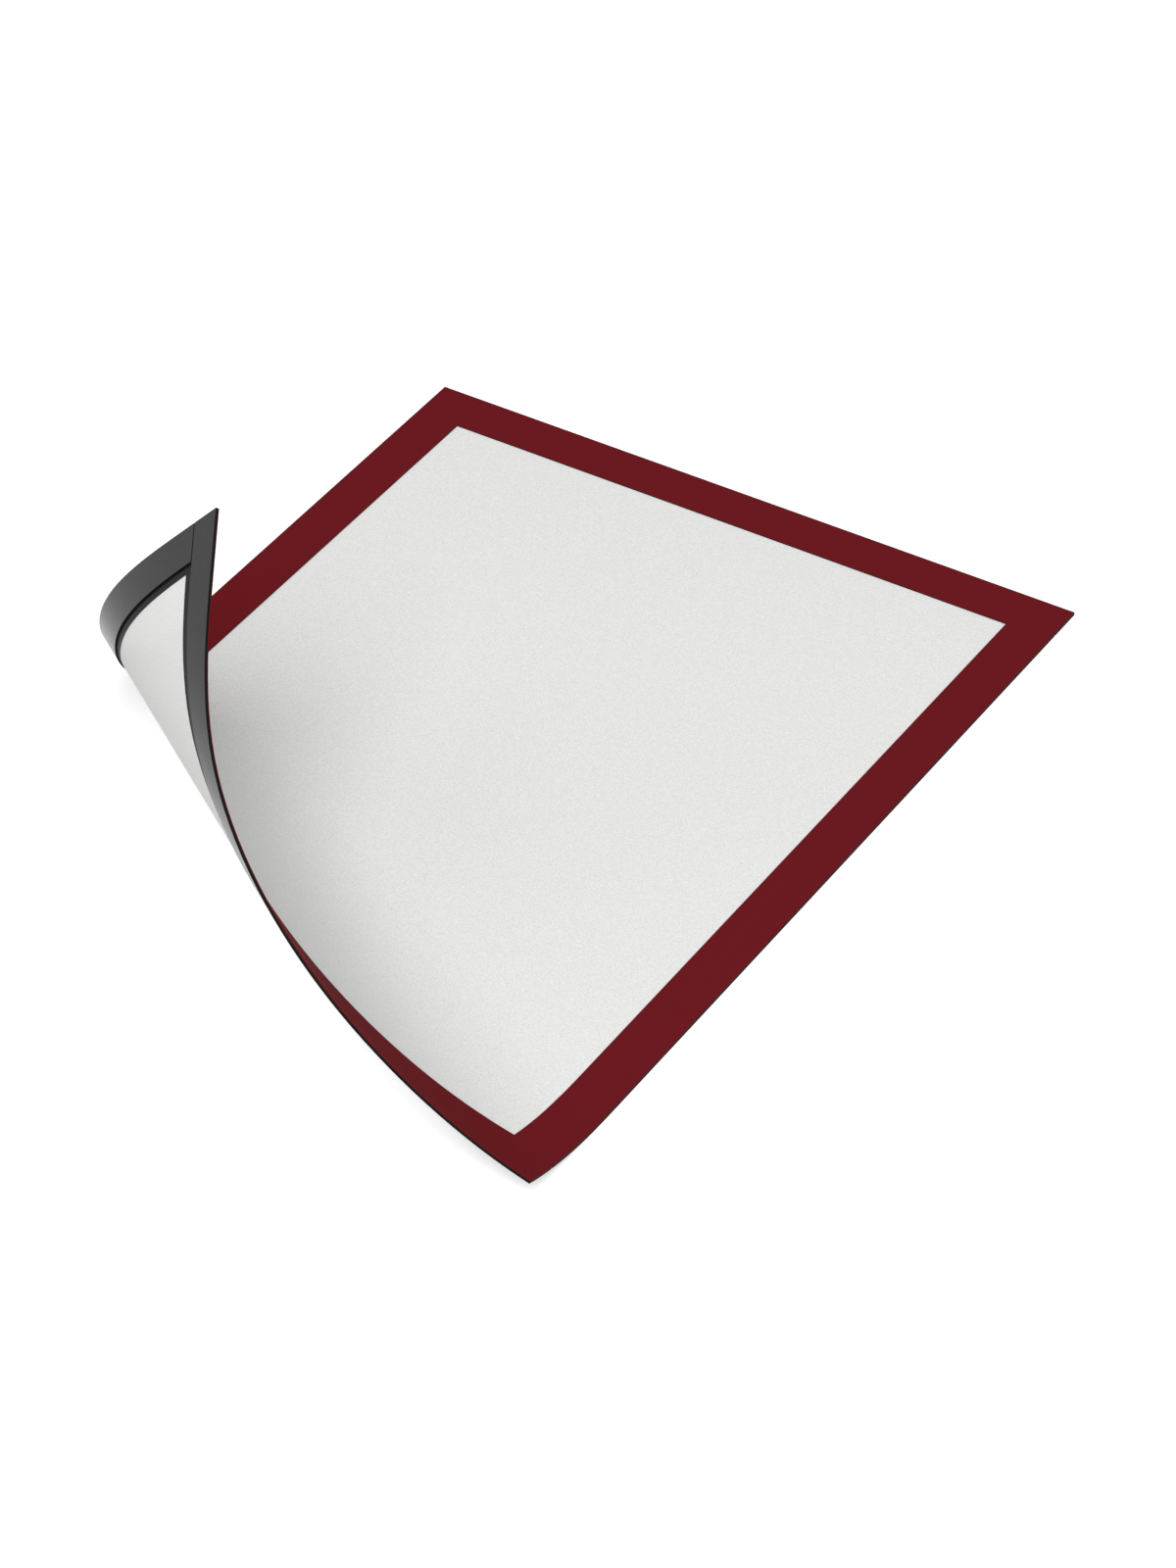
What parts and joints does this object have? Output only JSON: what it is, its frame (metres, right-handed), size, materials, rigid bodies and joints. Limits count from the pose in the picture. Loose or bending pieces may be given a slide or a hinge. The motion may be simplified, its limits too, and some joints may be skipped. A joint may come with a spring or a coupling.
{
  "type": "magnetic photo frame",
  "caption": "Flexible magnetic frame for an A4 sheet: red border, matt clear window and magnetic strips behind, with one corner peeled and curled up.",
  "frame": {"origin": "middle of the top strip's back face, on the surface that the frame lies against", "axes": "+Z out of the front face, +Y along the sides towards the top end, +X towards the right side; the peeled corner is at -X -Y"},
  "size_m": [0.2366, 0.3227, 0.1166],
  "materials": {
    "border": "matt dark red printed vinyl, dark on the back",
    "film": "clear film with a fine anti-glare grain",
    "magnet": "dark grey ferrite-filled rubber with a soft sheen",
    "adhesive": "clear double-sided adhesive"
  },
  "bodies": {
    "sheet": {"border_flat": "border", "film_bond_flat": "adhesive", "window_film_flat": "film", "top_strip": "magnet", "top_adhesive": "adhesive", "left_strip_flat": "magnet", "left_adhesive_flat": "adhesive", "right_strip_flat": "magnet", "right_adhesive_flat": "adhesive"},
    "peeled_corner": {"border_peeled": "border", "film_bond_peeled": "adhesive", "window_film_peeled": "film", "end_strip": "magnet", "end_adhesive": "adhesive", "left_strip_peeled": "magnet", "left_adhesive_peeled": "adhesive", "right_strip_peeled": "magnet", "right_adhesive_peeled": "adhesive"}
  },
  "joints": [
    {"name": "corner_peel", "type": "hinge", "parent": "sheet", "child": "peeled_corner", "pos_m": [0, -0.20919, 0.00112], "axis": [-0.8942, 0.4478, 0], "range_deg": [0, 45]}
  ]
}
